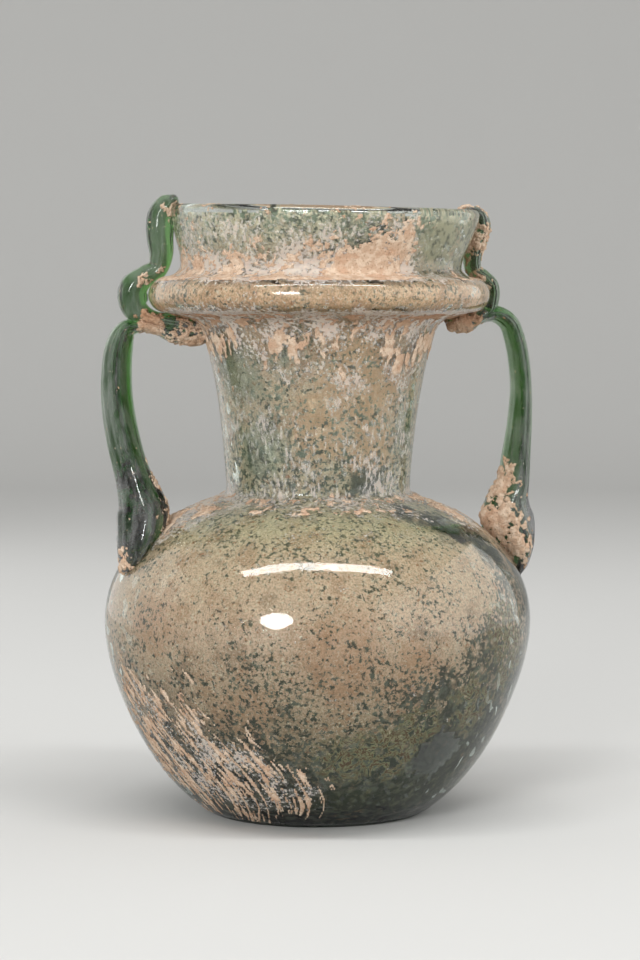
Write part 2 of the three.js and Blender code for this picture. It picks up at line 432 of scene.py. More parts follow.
leftTrail = [
    (22.6, 95.2, 3.4, 6, 10),
    (27.4, 96, 3.6, 6.8, 10),
    (31.8, 96.8, 3, 6.8, 10),
    (35, 98.2, 4.8, 6.6, 10),
    (36, 100.6, 5.8, 6.6, 10),
    (35.7, 103, 5.6, 6.6, 10),
    (33.7, 105, 4.2, 6.2, 10),
    (31.2, 106.6, 4, 5.8, 10),
    (30.4, 109.4, 4.6, 5.6, 9),
    (30.6, 112.8, 5.2, 5.6, 8),
    (30.5, 116.2, 5.4, 5.6, 8),
    (29.6, 118.8, 4.2, 5.8, 8),
    (27.8, 120, 2.2, 5.8, 8),
]
rightShaft = [
    (42, 45.4, 2.6, 6, 8),
    (42.2, 47.6, 5.4, 9.6, 8),
    (41.8, 50.6, 8.4, 12, 8),
    (41, 54, 10.4, 12.4, 7.8),
    (40.2, 57.4, 10.8, 12, 7.4),
    (40.4, 60.6, 8.6, 11.2, 7),
    (41.2, 64.2, 6.4, 10.4, 6.2),
    (41.5, 68.8, 5.7, 9.8, 5.4),
    (42, 75.4, 4.8, 9, 4.6),
    (42.1, 82.6, 4.1, 8.4, 3.8),
    (41.5, 88.4, 4.1, 8.2, 3.2),
    (40.6, 92.6, 4, 8, 3),
    (39.2, 96, 3.8, 7.8, 3),
    (36.4, 97.7, 3.4, 7.4, 3),
    (33.2, 97.1, 2.8, 7.2, 2.6),
    (30.4, 96.1, 4, 7, 2),
    (27.6, 96.2, 3.4, 6.4, 2),
]
rightTrail = [
    (28.6, 96.6, 3, 6.4, 2),
    (31.6, 97, 2.8, 6.8, 2),
    (34.4, 98.2, 3, 7, 2.6),
    (35.3, 100.4, 3.5, 7, 3),
    (35.3, 103, 3.5, 7, 3),
    (34, 104.9, 3, 6.8, 3.6),
    (32.2, 106.5, 3, 6.6, 4.2),
    (32, 109.2, 3.4, 6.8, 4.6),
    (33, 112.6, 4.2, 7.4, 5.2),
    (33.5, 115.4, 4.4, 8, 5.8),
    (32.6, 117.5, 3, 9.4, 6),
    (30.4, 118.1, 1.6, 10.6, 6.4),
]


def strapRings(stations, direction, steps):
    # a centre, a basis of across, outward and along, and half sizes for each ring
    line = smoothLine(stations, steps)
    centres = []
    for radius, height, thickness, width, aside in line:
        turn = math.radians(aside)
        centres.append(Vector((direction * radius * math.cos(turn), radius * math.sin(turn), height)) * mm)
    rings = []
    for i, (radius, height, thickness, width, aside) in enumerate(line):
        along = (centres[min(i + 1, steps)] - centres[max(i - 1, 0)]).normalized()
        turn = math.radians(aside)
        across = Vector((-direction * math.sin(turn), math.cos(turn), 0))
        outward = along.cross(across).normalized()
        basis = Matrix((outward.cross(along), outward, along)).transposed()
        rings.append((centres[i], basis, width / 2 * mm, thickness / 2 * mm))
    return [*rounding(rings[0], -1), *rings, *reversed(rounding(rings[-1], 1))]


def rounding(ring, side):
    # smaller rings beyond an end, so that it closes round
    centre, basis, halfWidth, halfThickness = ring
    along = basis.col[2]
    caps = []
    for degrees in (80, 58, 34, 14):
        turn = math.radians(degrees)
        shift = along * (side * halfThickness * 0.8 * math.sin(turn))
        caps.append((centre + shift, basis, halfWidth * math.cos(turn), halfThickness * math.cos(turn)))
    return caps


def drawStrap(name, stations, direction, steps, ribDepth):
    rings = strapRings(stations, direction, steps)
    centre, basis, halfWidth, halfThickness = rings[0]
    bpy.ops.mesh.primitive_circle_add(vertices=strap["sides"], radius=1, location=(0, 0, 0))
    piece = bpy.context.object
    piece.name = name
    for corner in piece.data.vertices:
        around = math.atan2(corner.co.y, corner.co.x)
        stria = math.sin(9 * around + 1) + math.sin(14 * around + 4) + math.sin(23 * around)
        groove = ribDepth * (0.5 - 0.5 * math.cos(strap["ribs"] * around))
        corner.co *= 1 - groove + strap["striaDepth"] * stria
    bpy.ops.object.mode_set(mode="EDIT")
    bpy.ops.mesh.select_all(action="SELECT")
    bpy.ops.transform.resize(value=(halfWidth, halfThickness, 1), center_override=(0, 0, 0))
    turnSelected(basis, (0, 0, 0))
    bpy.ops.transform.translate(value=centre)
    for before, after in zip(rings, rings[1:]):
        bpy.ops.mesh.extrude_edges_move(TRANSFORM_OT_translate={"value": after[0] - before[0]})
        turnSelected(after[1] @ before[1].transposed(), after[0])
        bpy.ops.transform.resize(
            value=(after[2] / before[2], after[3] / before[3], 1),
            orient_type="LOCAL",
            orient_matrix=after[1],
            orient_matrix_type="LOCAL",
            center_override=after[0],
        )
    bpy.ops.object.mode_set(mode="OBJECT")
    fillHoles(piece)
    return piece


def keepLargest(piece):
    selectOnly(piece)
    bpy.ops.object.mode_set(mode="EDIT")
    bpy.ops.mesh.select_all(action="SELECT")
    bpy.ops.mesh.separate(type="LOOSE")
    bpy.ops.object.mode_set(mode="OBJECT")
    parts = sorted(bpy.context.selected_objects, key=lambda part: len(part.data.vertices))
    for scrap in parts[:-1]:
        bpy.data.objects.remove(scrap)
    return parts[-1]


def drawHandle(name, shaftStations, trailStations, direction):
    shaft = drawStrap(name, shaftStations, direction, strap["shaftSteps"], strap["ribDepth"])
    trail = drawStrap(name + "_trail", trailStations, direction, strap["trailSteps"], strap["ribDepth"] / 3)
    applyModifier(shaft, "BOOLEAN", operation="UNION", object=trail, solver="EXACT")
    applyModifier(shaft, "BOOLEAN", operation="DIFFERENCE", object=wallCutter, solver="EXACT")
    bpy.data.objects.remove(trail)
    handle = keepLargest(shaft)
    handle.name = name
    selectOnly(handle)
    bpy.ops.object.shade_smooth_by_angle(angle=math.radians(50))
    return handle


print("drawing the handles")
deleteFaces(wallCutter, lambda face: face.material_index == 0)
fillHoles(wallCutter)
applyModifier(wallCutter, "DISPLACE", strength=-strap["embed"] * mm, mid_level=0)
leftHandle = drawHandle("left_handle_glass", leftShaft, leftTrail, -1)
rightHandle = drawHandle("right_handle_glass", rightShaft, rightTrail, 1)
bpy.data.objects.remove(wallCutter)

crust = {
    "under": 0.05,  # how deep its back lies in the glass
    "thinnest": 0.07,
    "neckDepth": 0.3,
    "cupDepth": 0.16,
    "foldDepth": 0.55,
    "handleDepth": 0.5,
    "scrapeDepth": 0.16,
    "scrapeLean": math.radians(57),
    "byNeck": onWall([(-52, 88, 9)]),
    "smoothCup": onWall([(-45, 110, 9), (-25, 110, 9)]),
    "peachCup": onWall([(-78, 109, 11), (-66, 112, 7)]),
    "byHandles": onWall([(180, 57, 13), (8, 57, 13), (-160, 60, 8), (-22, 60, 8)]),
    "onLeft": [
        (Vector((-24, 3, 93)), 7),
        (Vector((-32, 3, 95.5)), 4.5),
        (Vector((-32, -2, 57)), 7),
        (Vector((-33, 0, 65)), 6),
        (Vector((-41, -7, 49)), 5),
        (Vector((-31.5, 1, 104)), 4),
        (Vector((-28, 3, 118)), 3),
    ],
    "onRight": [
        (Vector((29, -1, 96)), 6),
        (Vector((36, 0, 56)), 9),
        (Vector((39, -1, 50)), 8),
        (Vector((37, 2, 64)), 6),
        (Vector((30, 0, 113)), 7),
        (Vector((31, 0, 103)), 5),
        (Vector((30, 3, 118)), 4),
    ],
    "scraped": onWall([(-148, 15, 17), (-130, 10, 14), (-160, 24, 9), (-113, 8, 9)]),
}


def growCrust(host, name, cover, depth, cuts):
    # a crumbly skin wherever cover, a share for a point in millimetres, is above 0
    piece = copyOf(host, name)
    deleteFaces(piece, lambda face: face.material_index == 0 and cover(face.center / mm) > -0.25)
    bpy.ops.object.mode_set(mode="EDIT")
    bpy.ops.mesh.select_all(action="SELECT")
    bpy.ops.mesh.subdivide(number_cuts=cuts)
    bpy.ops.object.mode_set(mode="OBJECT")
    deleteFaces(piece, lambda face: cover(face.center / mm) > 0)
    thick = piece.vertex_groups.new(name="thick")
    for corner in piece.data.vertices:
        thick.add([corner.index], blur(0, 0.5, cover(corner.co / mm)), "REPLACE")
    for face in piece.data.polygons:
        face.material_index = 0
    applyModifier(piece, "DISPLACE", strength=-crust["under"] * mm, mid_level=0)
    applyModifier(
        piece,
        "SOLIDIFY",
        thickness=depth * mm,
        offset=1,
        vertex_group=thick.name,
        thickness_vertex_group=(crust["under"] + crust["thinnest"]) / depth,
    )
    bpy.ops.object.shade_smooth()
    return piece


def fromCollar(point):
    # how far a point is from the middle of the collar's tube, in its section
    return math.hypot(math.hypot(point.x, point.y) - vessel["collarRadius"] + vessel["collarHalf"], point.z - vessel["collarHeight"])


def coversNeck(point):
    if point.z > 98.6 or point.z < 60 or math.hypot(point.x, point.y) > 29:
        return -1
    long = Vector((point.x, point.y, point.z / 4))
    streaks = lumpiness(long, 1.5, 3, 5)
    blotches = lumpiness(point, 5, 3, 9)
    rising = blur(80, 96, point.z) * 0.55 + blur(66, 62, point.z) * 0.35
    return streaks * 0.45 + blotches * 0.5 - 0.62 + rising + 0.4 * max(0, nearness(point, crust["byNeck"]))


def coversCup(point):
    if point.z < 104.2 or math.hypot(point.x, point.y) < 26.6:
        return -1
    blotches = lumpiness(point, 4.5, 3, 2)
    grain = lumpiness(point, 0.9, 2, 7)
    low = 1 - blur(105.5, 113.5, point.z)
    right = max(0, nearness(point, crust["smoothCup"]))
    return blotches * 0.55 + grain * 0.45 - 0.42 + low * 0.5 - right * 1.3 + max(0, nearness(point, crust["peachCup"])) * 0.6


def coversShoulder(point):
    if point.z > 62.5 or point.z < 50:
        return -1
    blotches = lumpiness(point, 4, 3, 4)
    grain = lumpiness(point, 0.8, 2, 3)
    byHandle = max(0, nearness(point, crust["byHandles"]))
    return blotches * 0.35 + grain * 0.35 - 0.55 + byHandle * 0.9 + blur(60.5, 63, point.z) * 0.5


def coversScrapes(point):
    if point.z > 34 or point.z < 0.9 or math.hypot(point.x, point.y) < 21:
        return -1
    near = nearness(point, crust["scraped"])
    if near < -0.2:
        return -1
    angle = math.atan2(point.y, point.x)
    around = angle * 34
    slope = math.hypot(point.z, 34 - math.hypot(point.x, point.y)) if point.z < 20 else point.z
    lean = crust["scrapeLean"]
    along = around * math.cos(lean) - slope * math.sin(lean)
    aside = around * math.sin(lean) + slope * math.cos(lean)
    streaks = lumpiness(Vector((along / 6, aside / 0.75, 3)), 1, 4, 6)
    patches = lumpiness(point, 4, 3, 12)
    return streaks * 0.55 + patches * 0.25 + min(near, 0.4) * 0.6 - 0.3


def coversLeftHandle(point):
    grain = lumpiness(point, 1.1, 3, 3)
    near = nearness(point, crust["onLeft"])
    return lumpiness(point, 3, 2, 8) * 0.35 + grain * 0.5 + max(near, -0.2) * 1.1 - 0.42


def coversRightHandle(point):
    grain = lumpiness(point, 1.1, 3, 5)
    near = nearness(point, crust["onRight"])
    return lumpiness(point, 3, 2, 6) * 0.35 + grain * 0.5 + max(near, -0.2) * 1.1 - 0.42


print("growing the crust")
neckCrust = growCrust(vesselGlass, "neck_crust", coversNeck, crust["neckDepth"], 2)
cupCrust = growCrust(vesselGlass, "cup_crust", coversCup, crust["cupDepth"], 2)
shoulderCrust = growCrust(vesselGlass, "shoulder_crust", coversShoulder, crust["neckDepth"], 2)
scrapedCrust = growCrust(vesselGlass, "scraped_crust", coversScrapes, crust["scrapeDepth"], 3)
leftCrust = growCrust(leftHandle, "left_handle_crust", coversLeftHandle, crust["handleDepth"], 2)
rightCrust = growCrust(rightHandle, "right_handle_crust", coversRightHandle, crust["handleDepth"], 2)
crusts = (neckCrust, cupCrust, shoulderCrust, scrapedCrust, leftCrust, rightCrust)

# a dark skin in the shallow hollow of the underside: partly packed dirt, partly painted shade that darkens the foot
footDirtAndShade = copyOf(vesselGlass, "foot_dirt_and_shade")
deleteFaces(footDirtAndShade, lambda face: face.center.z < mm and math.hypot(face.center.x, face.center.y) < 16 * mm)
applyModifier(footDirtAndShade, "DISPLACE", strength=0.01 * mm, mid_level=0)
applyModifier(footDirtAndShade, "SOLIDIFY", thickness=0.08 * mm, offset=1)
for face in footDirtAndShade.data.polygons:
    face.material_index = 0

# the cage's two materials were only marks for its outside and its inside
for face in vesselGlass.data.polygons:
    face.material_index = 0


def tone(red, green, blue):
    # a colour given as it looks on a screen, as the linear one that a node takes
    parts = [part / 255 for part in (red, green, blue)]
    return (*[p / 12.92 if p < 0.04045 else ((p + 0.055) / 1.055) ** 2.4 for p in parts], 1)


def addNode(tree, kind, inputs=None, **settings):
    made = tree.nodes.new("ShaderNode" + kind)
    for name, value in settings.items():
        setattr(made, name, value)
    for place, value in (inputs or {}).items():
        if isinstance(value, bpy.types.NodeSocket):
            tree.links.new(value, made.inputs[place])
        else:
            made.inputs[place].default_value = value
    return made


def startMaterial(name, values):
    material = bpy.data.materials.new(name)
    material.use_nodes = True
    shader = material.node_tree.nodes["Principled BSDF"]
    for place, value in values.items():
        shader.inputs[place].default_value = value
    return material, material.node_tree, shader


def millimetres(tree):
    # the piece's own coordinates, in millimetres
    place = addNode(tree, "TexCoord").outputs["Object"]
    return addNode(tree, "VectorMath", {0: place, "Scale": 1 / mm}, operation="SCALE").outputs[0]


def between(tree, value, low, high):
    made = addNode(
        tree,
        "MapRange",
        {"Value": value, "From Min": low, "From Max": high},
        interpolation_type="SMOOTHSTEP",
    )
    return made.outputs[0]


def cloud(tree, place, size, low=0.45, high=0.55, detail=3, rough=0.55, stretch=(1, 1, 1), shift=0, warp=0):
    # blotches about size millimetres wide: 0 where the noise is under low, 1 over high
    moved = addNode(
        tree,
        "Mapping",
        {"Vector": place, "Location": (shift, shift * 0.7, -shift), "Scale": [1 / part for part in stretch]},
    )
    made = addNode(
        tree,
        "TexNoise",
        {"Vector": moved.outputs[0], "Scale": 1 / size, "Detail": detail, "Roughness": rough, "Distortion": warp},
    )
    return between(tree, made.outputs[0], low, high)


def paint(tree, under, amount, over):
    made = addNode(tree, "Mix", {0: amount, 6: under, 7: over}, data_type="RGBA")
    return made.outputs[2]


def calculate(tree, operation, first, second):
    return addNode(tree, "Math", {0: first, 1: second}, operation=operation).outputs[0]


def addBump(tree, shader, height, distance, strength=1):
    made = addNode(tree, "Bump", {"Height": height, "Distance": distance * mm, "Strength": strength})
    tree.links.new(made.outputs[0], shader.inputs["Normal"])


def addAbsorption(tree, color, density):
    # density is for each metre of glass
    made = addNode(tree, "VolumeAbsorption", {"Color": color, "Density": density})
    tree.links.new(made.outputs[0], tree.nodes["Material Output"].inputs["Volume"])


def dress(piece, material):
    piece.data.materials.clear()
    piece.data.materials.append(material)


def near(tree, place, spots, ragged=2.5, size=3, shift=0):
    # 1 inside the spots and 0 outside, with wandering edges; spots are angle, height, radius
    wander = addNode(
        tree,
        "Mapping",
        {"Vector": place, "Location": (shift, shift, shift)},
    )
    made = addNode(tree, "TexNoise", {"Vector": wander.outputs[0], "Scale": 1 / size, "Detail": 3, "Roughness": 0.6})
    wobble = calculate(tree, "MULTIPLY", calculate(tree, "SUBTRACT", made.outputs[0], 0.5), ragged * 4)
    total = None
    for middle, radius in onWall(spots):
        apart = addNode(tree, "VectorMath", {0: place, 1: middle}, operation="DISTANCE")
        mask = between(tree, calculate(tree, "ADD", apart.outputs["Value"], wobble), radius, radius * 0.5)
        total = mask if total is None else calculate(tree, "MAXIMUM", total, mask)
    return total


def rise(tree, height, stops):
    # a value for each height, from pairs of millimetres and values between 0 and 1
    made = tree.nodes.new("ShaderNodeValToRGB")
    place = calculate(tree, "DIVIDE", height, 120)
    tree.links.new(place, made.inputs[0])
    fillRamp(made.color_ramp, [(at / 120, (value, value, value, 1)) for at, value in stops])
    return made.outputs[0]


def riseColor(tree, height, stops):
    made = tree.nodes.new("ShaderNodeValToRGB")
    place = calculate(tree, "DIVIDE", height, 120)
    tree.links.new(place, made.inputs[0])
    fillRamp(made.color_ramp, [(at / 120, color) for at, color in stops])
    return made.outputs[0]


def fillRamp(ramp, stops):
    while len(ramp.elements) < len(stops):
        ramp.elements.new(0.5)
    for element, (position, color) in zip(ramp.elements, stops):
        element.position = position
        element.color = color


def speckle(tree, place, size, cover, soft=0.03, detail=2.5, stretch=(1, 1, 1), shift=0):
    # specks over a share of the surface that cover, a socket or a number round 0.5, sets
    moved = addNode(
        tree,
        "Mapping",
        {"Vector": place, "Location": (shift, -shift, shift * 0.6), "Scale": [1 / part for part in stretch]},
    )
    made = addNode(tree, "TexNoise", {"Vector": moved.outputs[0], "Scale": 1 / size, "Detail": detail, "Roughness": 0.62})
    level = calculate(tree, "ADD", made.outputs[0], calculate(tree, "SUBTRACT", cover, 0.5))
    return between(tree, level, 0.5 - soft, 0.5 + soft)


def speckleDepth(tree, place):
    return addNode(tree, "TexNoise", {"Vector": place, "Scale": 1 / 1.7, "Detail": 2, "Roughness": 0.5}).outputs[0]


def makeSoil():
    look = {"Roughness": 0.85, "Specular IOR Level": 0.25}
    material, tree, shader = startMaterial("soil against the glass", look)
    place = millimetres(tree)
    height = addNode(tree, "SeparateXYZ", {0: place}).outputs[2]

    # warm pale soil, with orange and brown clouds in it; it turns darker towards the foot and in a narrow band under
    # the collar, partly the soil's own colour and partly painted shade
    pale = riseColor(
        tree,
        height,
        [
            (2, tone(70, 74, 52)),
            (14, tone(160, 142, 112)),
            (26, tone(222, 192, 166)),
            (40, tone(244, 212, 190)),
            (52, tone(244, 216, 188)),
            (57, tone(234, 222, 190)),
            (62, tone(238, 226, 200)),
            (76, tone(250, 230, 206)),
            (96, tone(236, 204, 174)),
            (98.6, tone(166, 132, 96)),
            (100.2, tone(248, 208, 170)),
            (103, tone(250, 218, 188)),
            (108, tone(252, 232, 208)),
            (116, tone(240, 232, 208)),
        ],
    )
    warm = calculate(tree, "MULTIPLY", cloud(tree, place, 6, 0.5, 0.66, 3), 0.4)
    pale = paint(tree, pale, warm, tone(200, 150, 114))
    umber = calculate(tree, "MULTIPLY", cloud(tree, place, 9, 0.55, 0.7, 4, shift=31), 0.5)
    pale = paint(tree, pale, umber, tone(150, 116, 90))
    grain = speckle(tree, place, 0.34, 0.5, 0.12, 3, shift=27)
    shaded = addNode(tree, "Mix", {0: 1, 6: pale, 7: tone(206, 196, 184)}, data_type="RGBA", blend_type="MULTIPLY")
    pale = paint(tree, pale, calculate(tree, "MULTIPLY", grain, 0.75), shaded.outputs[2])
    pale = paint(tree, pale, speckle(tree, place, 0.55, 0.39, 0.05, 4, shift=12), tone(238, 222, 200))
    pale = paint(tree, pale, speckle(tree, place, 0.9, 0.36, 0.05, 5, shift=44), tone(184, 128, 94))

    for spots, amount, patch in (
        (soil["peachy"], 0.6, tone(236, 190, 150)),
        (soil["greenish"], 0.6, tone(150, 164, 144)),
        (soil["rusty"], 0.4, tone(206, 152, 118)),
    ):
        pale = paint(tree, pale, calculate(tree, "MULTIPLY", near(tree, place, spots, 3, 3.5, 4), amount), patch)

    # dark specks where the glass shows through, denser low down and to one side; their dark colour is painted shade of
    # the hollow seen through the bare glass, darkest at the foot
    share = rise(
        tree,
        height,
        [(2, 0.8), (12, 0.62), (20, 0.5), (32, 0.44), (46, 0.4), (57, 0.44), (66, 0.5), (76, 0.45), (95, 0.42), (106, 0.42), (117, 0.5)],
    )
    clouds = addNode(tree, "TexNoise", {"Vector": place, "Scale": 1 / 8, "Detail": 3, "Roughness": 0.6}).outputs[0]
    share = calculate(tree, "ADD", share, calculate(tree, "MULTIPLY", calculate(tree, "SUBTRACT", clouds, 0.5), 0.3))
    thinly = near(tree, place, soil["thin"], 3, 5)
    share = calculate(tree, "ADD", share, calculate(tree, "MULTIPLY", thinly, 0.12))
    dark = riseColor(
        tree,
        height,
        [
            (2, tone(22, 34, 22)),
            (20, tone(58, 62, 46)),
            (44, tone(92, 86, 72)),
            (54, tone(116, 116, 92)),
            (66, tone(104, 114, 98)),
            (78, tone(150, 158, 142)),
            (94, tone(154, 156, 136)),
            (101, tone(140, 122, 98)),
            (108, tone(172, 168, 146)),
            (117, tone(146, 158, 136)),
        ],
    )
    dark = paint(tree, dark, cloud(tree, place, 2.2, 0.45, 0.62, 2, shift=7), tone(104, 106, 92))
    specks = speckle(tree, place, 0.8, share, 0.045, 6, shift=3)
    specks = calculate(tree, "MULTIPLY", specks, between(tree, speckleDepth(tree, place), 0.2, 0.5))
    color = paint(tree, pale, specks, dark)

    # a smooth film round the places where the soil has fallen away, coloured dark as painted shade of the hollow behind
    # it, darkest at the foot
    film = riseColor(
        tree,
        height,
        [(2, tone(26, 36, 24)), (6, tone(54, 60, 40)), (24, tone(44, 50, 38)), (56, tone(62, 66, 54)), (66, tone(100, 104, 88)), (104, tone(204, 194, 164))],
    )
    film = paint(tree, film, cloud(tree, place, 1.4, 0.46, 0.7, 4, shift=21), tone(112, 110, 88))
    wider = [(angle, at, radius * 1.45) for angle, at, radius in soil["fallenAway"]] + soil["filmedAndShaded"]
    color = paint(tree, color, near(tree, place, wider, 2.2, 3), film)

    # wandering brown lines with a pale border
    contour = addNode(tree, "TexNoise", {"Vector": place, "Scale": 1 / 3.4, "Detail": 4, "Roughness": 0.66, "Distortion": 0.6})
    fromLine = calculate(tree, "ABSOLUTE", calculate(tree, "SUBTRACT", contour.outputs[0], 0.52), 0)
    worms = near(tree, place, soil["wormed"], 3, 2.5, 5)
    border = calculate(tree, "MULTIPLY", between(tree, fromLine, 0.075, 0.045), worms)
    color = paint(tree, color, calculate(tree, "MULTIPLY", border, 0.85), tone(168, 162, 120))
    core = calculate(tree, "MULTIPLY", between(tree, fromLine, 0.034, 0.014), worms)
    color = paint(tree, color, core, tone(104, 70, 38))
    brown = near(tree, place, soil["brownSpots"], 0.35, 0.8, 2)
    color = paint(tree, color, calculate(tree, "MULTIPLY", brown, 0.85), tone(92, 52, 28))
    tree.links.new(color, shader.inputs["Base Color"])
    addBump(tree, shader, specks, 0.12, 0.5)
    return material


def makeInsideSoil():
    look = {"Roughness": 0.95, "Specular IOR Level": 0.15}
    material, tree, shader = startMaterial("loose soil", look)
    place = millimetres(tree)
    color = paint(tree, tone(150, 122, 94), cloud(tree, place, 3, 0.4, 0.62, 4), tone(112, 92, 68))
    color = paint(tree, color, cloud(tree, place, 0.7, 0.5, 0.64, 3, shift=9), tone(176, 152, 122))
    tree.links.new(color, shader.inputs["Base Color"])
    addBump(tree, shader, cloud(tree, place, 0.6, 0.3, 0.7, 4), 0.25)
    return material


weather = {
    "dusty": [(180, 57, 15), (8, 57, 14), (-160, 58, 8), (-25, 58, 7)],
    "scraped": [(-146, 14, 16), (-128, 10, 13), (-158, 22, 9), (-112, 8, 9), (20, 14, 16)],
    "smoothCup": [(-45, 111, 9), (-25, 110, 9)],
}


def makeVesselGlass():
    look = {"IOR": 1.5, "Specular IOR Level": 0.5}
    material, tree, shader = startMaterial("pale green blown glass", look)
    place = millimetres(tree)
    height = addNode(tree, "SeparateXYZ", {0: place}).outputs[2]
    outside = addNode(tree, "Attribute", attribute_name="outside").outputs["Fac"]

    # how much weathering and dust lies on the outside
    share = rise(
        tree,
        height,
        [
            (2, 0.1),
            (5, 0.26),
            (50, 0.26),
            (59, 0.34),
            (62.5, 0.52),
            (66, 0.38),
            (84, 0.39),
            (93, 0.46),
            (98, 0.56),
            (99.5, 0.3),
            (103, 0.3),
            (104.6, 0.6),
            (108, 0.56),
            (113, 0.48),
            (117, 0.36),
            (118.5, 0.2),
        ],
    )
    clouds = addNode(tree, "TexNoise", {"Vector": place, "Scale": 1 / 6, "Detail": 3, "Roughness": 0.6}).outputs[0]
    share = calculate(tree, "ADD", share, calculate(tree, "MULTIPLY", calculate(tree, "SUBTRACT", clouds, 0.5), 0.6))
    smooth = near(tree, place, weather["smoothCup"], 1.5, 3)
    share = calculate(tree, "SUBTRACT", share, calculate(tree, "MULTIPLY", smooth, 0.2))
    dusty = near(tree, place, weather["dusty"] + weather["scraped"], 3, 4)
    share = calculate(tree, "ADD", share, calculate(tree, "MULTIPLY", dusty, 0.2))
    long = speckle(tree, place, 0.62, share, 0.1, 6, (1, 1, 3), 17)
    grain = speckle(tree, place, 0.7, calculate(tree, "SUBTRACT", share, 0.03), 0.1, 7, (1, 1, 1), 8)
    onNeck = calculate(tree, "MULTIPLY", between(tree, height, 60, 64), between(tree, height, 99, 97))
    streaky = calculate(tree, "MULTIPLY", onNeck, between(tree, height, 92, 72))
    cover = paint(tree, grain, calculate(tree, "MULTIPLY", streaky, 0.75), long)
    cover = calculate(tree, "MULTIPLY", cover, 0.58)

    cover = calculate(tree, "MULTIPLY", cover, outside)

    crustTone = paint(tree, tone(214, 170, 132), cloud(tree, place, 1.6, 0.4, 0.6, 3, shift=6), tone(222, 194, 160))
    orange = calculate(tree, "MULTIPLY", cloud(tree, place, 4, 0.52, 0.64, 3, shift=15), 0.6)
    crustTone = paint(tree, crustTone, orange, tone(192, 150, 120))
    tree.links.new(paint(tree, (1, 1, 1, 1), cover, crustTone), shader.inputs["Base Color"])
    clear = calculate(tree, "SUBTRACT", 1, cover)
    tree.links.new(clear, shader.inputs["Transmission Weight"])
    worn = calculate(tree, "MULTIPLY", speckle(tree, place, 0.4, 0.42, 0.08, 3, shift=37), 0.14)
    dull = calculate(tree, "ADD", calculate(tree, "MULTIPLY", cover, 0.75), worn)
    tree.links.new(calculate(tree, "ADD", dull, 0.04), shader.inputs["Roughness"])
    blown = addNode(tree, "TexNoise", {"Vector": place, "Scale": 1 / 2.5, "Detail": 2, "Roughness": 0.5}).outputs[0]
    relief = calculate(tree, "ADD", calculate(tree, "MULTIPLY", blown, 0.35), calculate(tree, "MULTIPLY", cover, 0.6))
    addBump(tree, shader, relief, 0.1, 0.6)
    addAbsorption(tree, (0.36, 0.62, 0.42, 1), 75)
    return material


def makeHandleGlass():
    look = {"IOR": 1.5}
    material, tree, shader = startMaterial("dark green handle glass", look)
    place = millimetres(tree)
    haze = speckle(tree, place, 2.2, 0.5, 0.16, 4, (1, 1, 3), 5)
    haze = calculate(tree, "MULTIPLY", haze, 0.09)
    crumbs = speckle(tree, place, 0.6, 0.3, 0.03, 3, (1, 1, 1), 9)
    hazeTone = tone(136, 150, 112)
    color = paint(tree, (1, 1, 1, 1), haze, hazeTone)
    color = paint(tree, color, crumbs, tone(206, 168, 136))
    tree.links.new(color, shader.inputs["Base Color"])
    cover = calculate(tree, "MAXIMUM", haze, crumbs)
    tree.links.new(calculate(tree, "SUBTRACT", 1, cover), shader.inputs["Transmission Weight"])
    tree.links.new(calculate(tree, "ADD", calculate(tree, "MULTIPLY", cover, 0.8), 0.04), shader.inputs["Roughness"])
    addBump(tree, shader, cloud(tree, place, 1.6, 0.3, 0.7, 3), 0.03, 0.7)
    addAbsorption(tree, (0.47, 0.68, 0.38, 1), 900)
    return material


def makeCrust():
    look = {"Roughness": 0.92, "Specular IOR Level": 0.2}
    material, tree, shader = startMaterial("buff crust", look)
    place = millimetres(tree)
    height = addNode(tree, "SeparateXYZ", {0: place}).outputs[2]
    color = paint(tree, tone(192, 164, 140), cloud(tree, place, 1.4, 0.42, 0.6, 3), tone(212, 190, 168))
    orange = calculate(tree, "MULTIPLY", cloud(tree, place, 3.5, 0.5, 0.64, 3, shift=5), 0.5)
    color = paint(tree, color, orange, tone(190, 150, 122))
    grit = calculate(tree, "MULTIPLY", speckle(tree, place, 0.45, 0.38, 0.05, shift=3), 0.7)
    color = paint(tree, color, grit, tone(138, 112, 86))
    # darker and browner under the collar: partly browner crust, partly painted shade
    underCollarBrownAndShade = calculate(tree, "MULTIPLY", between(tree, height, 93, 98), between(tree, height, 99.5, 98.6))
    color = paint(tree, color, calculate(tree, "MULTIPLY", underCollarBrownAndShade, 0.75), tone(156, 116, 86))
    tree.links.new(color, shader.inputs["Base Color"])
    addBump(tree, shader, cloud(tree, place, 0.45, 0.3, 0.7, 4), 0.15, 0.8)
    return material


def makeFootDirtAndShade():
    look = {"Roughness": 0.9, "Specular IOR Level": 0.2}
    material, tree, shader = startMaterial("dark dirt and painted shade under the foot", look)
    place = millimetres(tree)
    # dark colours under the foot, partly dirt and partly painted shade
    color = paint(tree, tone(34, 44, 30), cloud(tree, place, 2, 0.42, 0.62, 4), tone(64, 60, 42))
    color = paint(tree, color, speckle(tree, place, 1.2, 0.36, 0.05, 4, shift=2), tone(150, 126, 98))
    tree.links.new(color, shader.inputs["Base Color"])
    addBump(tree, shader, cloud(tree, place, 0.6, 0.3, 0.7, 4), 0.1)
    return material


print("mixing the materials")
handleGlass = makeHandleGlass()
buffCrust = makeCrust()
dress(vesselGlass, makeVesselGlass())
dress(leftHandle, handleGlass)
dress(rightHandle, handleGlass)
dress(innerSoil, makeSoil())
innerSoil.data.materials.append(makeInsideSoil())
dress(footDirtAndShade, makeFootDirtAndShade())
for piece in crusts:
    dress(piece, buffCrust)

studio = {
    "floorRadius": 900,
    "wallRadius": 1500,
    "wallHeight": 900,
    "worldLight": 0.4,
    "ground": 0.62,
}


